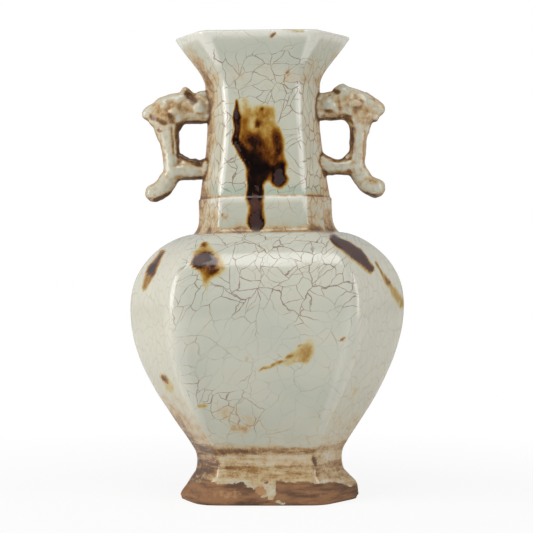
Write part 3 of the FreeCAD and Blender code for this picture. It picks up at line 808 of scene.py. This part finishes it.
def makeFloor():
    bm = bmesh.new()
    bmesh.ops.create_grid(bm, x_segments=1, y_segments=1, size=room["floorWidth"] / 2)
    item = newObject(bm, "floor")
    material = bpy.data.materials.new("floor")
    material.use_nodes = True
    item.data.materials.append(material)
    tree = material.node_tree
    tree.nodes.clear()
    output = tree.nodes.new("ShaderNodeOutputMaterial")
    diffuse = tree.nodes.new("ShaderNodeBsdfDiffuse")
    diffuse.inputs["Color"].default_value = room["floorColour"]
    seen = tree.nodes.new("ShaderNodeEmission")
    path = tree.nodes.new("ShaderNodeLightPath")
    place = tree.nodes.new("ShaderNodeTexCoord")
    away = tree.nodes.new("ShaderNodeVectorMath")
    away.operation = "LENGTH"
    tree.links.new(place.outputs["Object"], away.inputs[0])
    glow = tree.nodes.new("ShaderNodeMapRange")
    for name, value in zip(("From Min", "From Max", "To Min", "To Max"), room["shadowReach"] + room["floorGlow"]):
        glow.inputs[name].default_value = value
    tree.links.new(away.outputs["Value"], glow.inputs["Value"])
    share = tree.nodes.new("ShaderNodeMath")
    share.operation = "MULTIPLY"
    tree.links.new(glow.outputs[0], share.inputs[1])
    mix = tree.nodes.new("ShaderNodeMixShader")
    tree.links.new(path.outputs["Is Camera Ray"], share.inputs[0])
    tree.links.new(share.outputs[0], mix.inputs[0])
    tree.links.new(diffuse.outputs[0], mix.inputs[1])
    tree.links.new(seen.outputs[0], mix.inputs[2])
    tree.links.new(mix.outputs[0], output.inputs["Surface"])
    return item


def makeWorld():
    world = bpy.data.worlds.new("room")
    world.use_nodes = True
    tree = world.node_tree
    tree.nodes.clear()
    output = tree.nodes.new("ShaderNodeOutputWorld")
    light = tree.nodes.new("ShaderNodeBackground")
    light.inputs["Strength"].default_value = room["ambient"]
    seen = tree.nodes.new("ShaderNodeBackground")
    mirrored = tree.nodes.new("ShaderNodeBackground")
    seen.inputs["Color"].default_value = (1, 1, 1, 1)
    path = tree.nodes.new("ShaderNodeLightPath")
    direction = tree.nodes.new("ShaderNodeTexCoord")
    parts = tree.nodes.new("ShaderNodeSeparateXYZ")
    tree.links.new(direction.outputs["Generated"], parts.inputs[0])
    dim = tree.nodes.new("ShaderNodeMapRange")
    for name, value in zip(("From Min", "From Max", "To Min", "To Max"), room["mirrored"]):
        dim.inputs[name].default_value = value
    tree.links.new(parts.outputs["Y"], dim.inputs["Value"])
    tree.links.new(dim.outputs[0], mirrored.inputs["Strength"])
    first = tree.nodes.new("ShaderNodeMixShader")
    tree.links.new(path.outputs["Is Glossy Ray"], first.inputs[0])
    tree.links.new(light.outputs[0], first.inputs[1])
    tree.links.new(mirrored.outputs[0], first.inputs[2])
    second = tree.nodes.new("ShaderNodeMixShader")
    tree.links.new(path.outputs["Is Camera Ray"], second.inputs[0])
    tree.links.new(first.outputs[0], second.inputs[1])
    tree.links.new(seen.outputs[0], second.inputs[2])
    tree.links.new(second.outputs[0], output.inputs["Surface"])
    return world


floor = makeFloor()

for name, (place, size, power) in room["softboxes"].items():
    data = bpy.data.lights.new(name, "AREA")
    data.shape = "RECTANGLE"
    data.size, data.size_y = size
    data.energy = power
    lamp = bpy.data.objects.new(name, data)
    lamp.location = place
    lamp.rotation_euler = (Vector(room["aim"]) - Vector(place)).to_track_quat("-Z", "Y").to_euler()
    bpy.context.scene.collection.objects.link(lamp)

bpy.context.scene.world = makeWorld()
bpy.context.scene.view_settings.view_transform = "Standard"

print("glaze")


def addNode(tree, kind, inputs=None, **settings):
    node = tree.nodes.new("ShaderNode" + kind)
    for name, value in settings.items():
        setattr(node, name, value)
    for name, value in (inputs or {}).items():
        if isinstance(value, bpy.types.NodeSocket):
            tree.links.new(value, node.inputs[name])
        else:
            node.inputs[name].default_value = value
    return node


def paint(code):  # a colour as a painter reads it off a screen, made linear
    parts = [int(code[place:place + 2], 16) / 255 for place in (1, 3, 5)]
    return [part / 12.92 if part < 0.04 else ((part + 0.055) / 1.055) ** 2.4 for part in parts] + [1]


def work(tree, operation, first, second=0.0):
    return addNode(tree, "Math", {0: first, 1: second}, operation=operation).outputs[0]


def remap(tree, value, low, high, start=0.0, end=1.0):
    inputs = {"Value": value, "From Min": low, "From Max": high, "To Min": start, "To Max": end}
    return addNode(tree, "MapRange", inputs, interpolation_type="SMOOTHSTEP").outputs[0]


def mixIn(tree, share, under, over, kind="MIX"):
    node = addNode(tree, "Mix", data_type="RGBA", blend_type=kind)
    for place, value in ((0, share), (6, under), (7, over)):
        if isinstance(value, bpy.types.NodeSocket):
            tree.links.new(value, node.inputs[place])
        else:
            node.inputs[place].default_value = value
    return node.outputs[2]


def cloud(tree, place, size, detail=2.0, roughness=0.5):  # soft noise whose patches are size millimetres
    inputs = {"Vector": place, "Scale": 1 / size, "Detail": detail, "Roughness": roughness}
    return addNode(tree, "TexNoise", inputs).outputs["Fac"]


def readField(tree, name):
    return addNode(tree, "Attribute", attribute_name=name).outputs["Fac"]


def crackLines(tree, place, size, width, dimensions="2D"):  # hair lines round cells, and a colour for each
    inputs = {"Vector": place, "Scale": 1 / size}
    edges = addNode(tree, "TexVoronoi", inputs, voronoi_dimensions=dimensions, feature="DISTANCE_TO_EDGE")
    cells = addNode(tree, "TexVoronoi", inputs, voronoi_dimensions=dimensions, feature="F1")
    line = remap(tree, edges.outputs["Distance"], 0.3 * width / size, width / size, 1, 0)
    return line, cells.outputs["Color"]


def turnCells(tree, place, cell, stretch):  # each cell gets its own stretched and turned piece of the plane
    parts = addNode(tree, "SeparateColor", {0: cell})
    angle = work(tree, "MULTIPLY", parts.outputs[1], math.pi)
    moved = shift(tree, place, cell, 170.0)
    turned = addNode(tree, "VectorRotate", {"Vector": moved, "Angle": angle}, rotation_type="Z_AXIS").outputs[0]
    return addNode(tree, "VectorMath", {0: turned, 1: (1, 1 / stretch, 1)}, operation="MULTIPLY").outputs[0]


def shift(tree, place, by, amount):  # moves a place about by a colour
    moved = addNode(tree, "VectorMath", {0: by, 3: amount}, operation="SCALE").outputs[0]
    return addNode(tree, "VectorMath", {0: place, 1: moved}, operation="ADD").outputs[0]


glaze.update({
    "body": "#C3C3B3",
    "cool": "#B9BCAD",
    "warm": "#C9C2AC",
    # the side colour is lighter than the body: painted light on the side panels
    "side": "#D0C9B3",
    "pool": "#A6B6A6",
    "paleEdgeAndHighlight": "#E9E7DC",  # where the glaze drew back from the edges, and a painted highlight along the rounded edges
    "crack": "#7C5A44",
    # brown stain colours, which also paint the shade on the handles and in the hollows
    "stainAndShadePale": "#BF9F6C",
    "stainAndShade": "#875A22",
    "stainAndShadeDeep": "#482B14",
    "iron": (  # colours of the iron from the thinnest to the thickest
        (0, "#C3C3B3"), (0.1, "#C4B88C"), (0.24, "#AE8C46"), (0.4, "#8C5B18"),
        (0.58, "#5E3009"), (0.78, "#2A1206"), (1, "#0C0503"),
    ),
    "crystals": "#32201F",
    "crystalsWarm": "#4A2218",
    "clay": "#936842",
    "clayDark": "#5C3D26",
    "clayOchre": "#A97F55",
    "crackSizes": (20, 8, 4.8),  # long cracks, those between them, and the finest
    "crackStretch": 1.7,
    "crackWidth": 0.27,
    "sideCracks": (5.2, 9.5),  # across and along
})


def makeGlaze():
    material = bpy.data.materials.new("celadonGlaze")
    material.use_nodes = True
    tree = material.node_tree
    surface = tree.nodes["Principled BSDF"]
    metres = addNode(tree, "TexCoord").outputs["Object"]
    place = addNode(tree, "VectorMath", {0: metres, 3: 1000.0}, operation="SCALE").outputs[0]
    unrolled = addNode(tree, "UVMap", uv_map="glaze").outputs[0]
    flat = addNode(tree, "VectorMath", {0: unrolled, 3: 1000.0}, operation="SCALE").outputs[0]
    field = {name: readField(tree, name) for name in
             ("iron", "crystals", "stainAndShade", "clay", "ochre", "net", "side", "sideNet", "handle", "paleEdgeAndHighlight", "pool", "low")}
    broad = cloud(tree, place, 42, 2)
    patchy = cloud(tree, place, 13, 3, 0.6)
    ragged = cloud(tree, place, 3.2, 4, 0.6)
    speckle = cloud(tree, place, 0.9, 2, 0.6)

    # glaze body: clouded, painted lighter and creamier on the side panels as painted light from the side lamps, and
    # bluish where it has pooled
    colour = mixIn(tree, remap(tree, broad, 0.35, 0.65), paint(glaze["cool"]), paint(glaze["body"]))
    colour = mixIn(tree, remap(tree, patchy, 0.5, 0.75, 0, 0.5), colour, paint(glaze["warm"]))
    colour = mixIn(tree, work(tree, "MULTIPLY", field["side"], 0.4), colour, paint(glaze["side"]))
    colour = mixIn(tree, work(tree, "MULTIPLY", field["pool"], 0.75), colour, paint(glaze["pool"]))

    # pale edges: thin glaze, and a painted highlight on the rounded panel edges, strongest on the neck
    colour = mixIn(tree, work(tree, "MULTIPLY", field["paleEdgeAndHighlight"], 0.7), colour, paint(glaze["paleEdgeAndHighlight"]))

    # brown stain with painted shade: a wash in the hollows, on the edges and along the seams, and painted shade on the
    # handles' undersides, turned faces and finger holes
    level = addNode(tree, "VectorMath", {0: place, 1: (0.16, 0.16, 1)}, operation="MULTIPLY").outputs[0]
    layered = cloud(tree, level, 3.6, 4, 0.6)
    uneven = mixIn(tree, field["low"], remap(tree, patchy, 0.32, 0.66, 0.4, 1.5), remap(tree, layered, 0.3, 0.7, 0.45, 1.5))
    uneven = mixIn(tree, field["handle"], uneven, remap(tree, patchy, 0.3, 0.7, 0.8, 1.25))
    stainAndShadeWash = work(tree, "MULTIPLY", field["stainAndShade"], uneven)
    stainAndShadeWash = work(tree, "MULTIPLY", stainAndShadeWash, remap(tree, ragged, 0.3, 0.7, 0.7, 1.25))
    stainAndShadeWash = work(tree, "MULTIPLY", stainAndShadeWash, remap(tree, speckle, 0.3, 0.7, 0.8, 1.2))
    colour = mixIn(tree, remap(tree, stainAndShadeWash, 0.0, 0.5, 0, 0.8), colour, paint(glaze["stainAndShadePale"]))
    colour = mixIn(tree, remap(tree, stainAndShadeWash, 0.3, 1.0, 0, 0.85), colour, paint(glaze["stainAndShade"]))
    colour = mixIn(tree, remap(tree, stainAndShadeWash, 0.85, 1.35, 0, 0.85), colour, paint(glaze["stainAndShadeDeep"]))

    # crackle
    warp = addNode(tree, "TexNoise", {"Vector": flat, "Scale": 0.045, "Detail": 3.0}).outputs["Color"]
    bent = shift(tree, flat, warp, 16.0)
    tilted = addNode(tree, "VectorRotate", {"Vector": bent, "Angle": 0.6}, rotation_type="Z_AXIS").outputs[0]
    longPlace = addNode(tree, "VectorMath", {0: tilted, 1: (1, 0.6, 1)}, operation="MULTIPLY").outputs[0]
    longLine, longCell = crackLines(tree, longPlace, glaze["crackSizes"][0], glaze["crackWidth"] * 1.1)
    middlePlace = turnCells(tree, bent, longCell, glaze["crackStretch"])
    middleLine, middleCell = crackLines(tree, middlePlace, glaze["crackSizes"][1], glaze["crackWidth"])
    finePlace = turnCells(tree, middlePlace, middleCell, 1.2)
    fineLine, fineCell = crackLines(tree, finePlace, glaze["crackSizes"][2], glaze["crackWidth"] * 0.8)
    dense = work(tree, "ADD", field["net"], remap(tree, patchy, 0.25, 0.75, -0.35, 0.35))
    longLine = work(tree, "MULTIPLY", longLine, remap(tree, dense, -0.1, 0.7, 0.15, 0.9))
    middleLine = work(tree, "MULTIPLY", middleLine, remap(tree, dense, 0.0, 0.8, 0.12, 0.85))
    fineLine = work(tree, "MULTIPLY", fineLine, remap(tree, dense, 0.75, 1.3, 0, 0.5))
    across, along = glaze["sideCracks"]
    squeezed = addNode(tree, "VectorMath", {0: bent, 1: (1 / across, 1 / along, 1)}, operation="MULTIPLY")
    sideLine = crackLines(tree, squeezed.outputs[0], 1.0, 0.1)[0]
    sideLine = work(tree, "MULTIPLY", sideLine, remap(tree, patchy, 0.35, 0.65, 0.35, 0.85))
    sideLine = work(tree, "MULTIPLY", sideLine, field["sideNet"])
    front = work(tree, "SUBTRACT", 1.0, field["side"])
    lines = work(tree, "MAXIMUM", longLine, work(tree, "MAXIMUM", middleLine, fineLine))
    lines = work(tree, "MAXIMUM", work(tree, "MULTIPLY", lines, front), work(tree, "MULTIPLY", sideLine, field["side"]))
    clayLine = crackLines(tree, shift(tree, place, patchy, 6.0), 7.5, 0.3, "3D")[0]
    clayLine = work(tree, "MULTIPLY", clayLine, remap(tree, patchy, 0.4, 0.65, 0, 0.35))
    lines = mixIn(tree, field["handle"], lines, clayLine)
    lines = work(tree, "MULTIPLY", lines, remap(tree, ragged, 0.25, 0.6, 0.45, 1.1))
    cracks = work(tree, "MULTIPLY", lines, 0.8)
    colour = mixIn(tree, cracks, colour, paint(glaze["crack"]))

    # iron splashes, which ran down in streaks
    drawn = addNode(tree, "VectorMath", {0: place, 1: (1, 1, 0.45)}, operation="MULTIPLY").outputs[0]
    streaky = cloud(tree, drawn, 3.4, 3, 0.6)
    uneven = work(tree, "ADD", remap(tree, streaky, 0.25, 0.75, 0.78, 1.22), remap(tree, speckle, 0.2, 0.8, -0.07, 0.07))
    iron = work(tree, "MULTIPLY", field["iron"], uneven)
    fringe = work(tree, "MULTIPLY", remap(tree, ragged, 0.25, 0.75, -0.06, 0.06), remap(tree, field["iron"], 0.02, 0.3))
    iron = work(tree, "ADD", iron, fringe)
    ramp = addNode(tree, "ValToRGB")
    stops = ramp.color_ramp.elements
    while len(stops) < len(glaze["iron"]):
        stops.new(0.5)
    for stop, (share, code) in zip(stops, glaze["iron"]):
        stop.position = share
        stop.color = paint(code)
    tree.links.new(iron, ramp.inputs[0])
    splash = remap(tree, iron, 0.0, 0.16)
    colour = mixIn(tree, splash, colour, ramp.outputs[0])
    skin = work(tree, "ADD", field["crystals"], remap(tree, ragged, 0.25, 0.75, -0.5, 0.4))
    skin = remap(tree, skin, 0.35, 0.75)
    skin = work(tree, "MULTIPLY", skin, remap(tree, field["crystals"], 0.0, 0.2))
    skinColour = mixIn(tree, remap(tree, patchy, 0.4, 0.6), paint(glaze["crystals"]), paint(glaze["crystalsWarm"]))
    colour = mixIn(tree, work(tree, "MULTIPLY", skin, 0.85), colour, skinColour)

    # bare clay of the foot
    bare = work(tree, "ADD", field["clay"], remap(tree, ragged, 0.2, 0.8, -0.3, 0.3))
    bare = remap(tree, bare, 0.38, 0.62)
    clay = mixIn(tree, remap(tree, layered, 0.35, 0.62), paint(glaze["clayDark"]), paint(glaze["clay"]))
    clay = mixIn(tree, remap(tree, speckle, 0.55, 0.75, 0, 0.5), clay, paint(glaze["clayDark"]))
    clay = mixIn(tree, remap(tree, work(tree, "ADD", field["ochre"], remap(tree, ragged, 0.2, 0.8, -0.3, 0.3)),
                             0.3, 0.7), clay, paint(glaze["clayOchre"]))
    colour = mixIn(tree, bare, colour, clay)
    tree.links.new(colour, surface.inputs["Base Color"])

    rough = remap(tree, patchy, 0.3, 0.7, 0.1, 0.2)
    rough = mixIn(tree, skin, rough, (0.42, 0.42, 0.42, 1))
    rough = mixIn(tree, remap(tree, stainAndShadeWash, 0.4, 1.2, 0, 0.6), rough, (0.4, 0.4, 0.4, 1))
    rough = mixIn(tree, bare, rough, (0.78, 0.78, 0.78, 1))
    tree.links.new(rough, surface.inputs["Roughness"])
    surface.inputs["IOR"].default_value = 1.6

    height = work(tree, "MULTIPLY", cloud(tree, place, 17, 2), 0.5)
    height = work(tree, "ADD", height, work(tree, "MULTIPLY", ragged, 0.05))
    height = work(tree, "ADD", height, work(tree, "MULTIPLY", cracks, -0.03))
    height = work(tree, "ADD", height, work(tree, "MULTIPLY", splash, 0.12))
    height = work(tree, "ADD", height, work(tree, "MULTIPLY", bare, work(tree, "SUBTRACT", speckle, 1.0)))
    relief = addNode(tree, "Bump", {"Height": height, "Distance": 0.001, "Strength": 0.6})
    tree.links.new(relief.outputs[0], surface.inputs["Normal"])
    return material


vase.data.materials.append(makeGlaze())

bpy.context.view_layer.update()
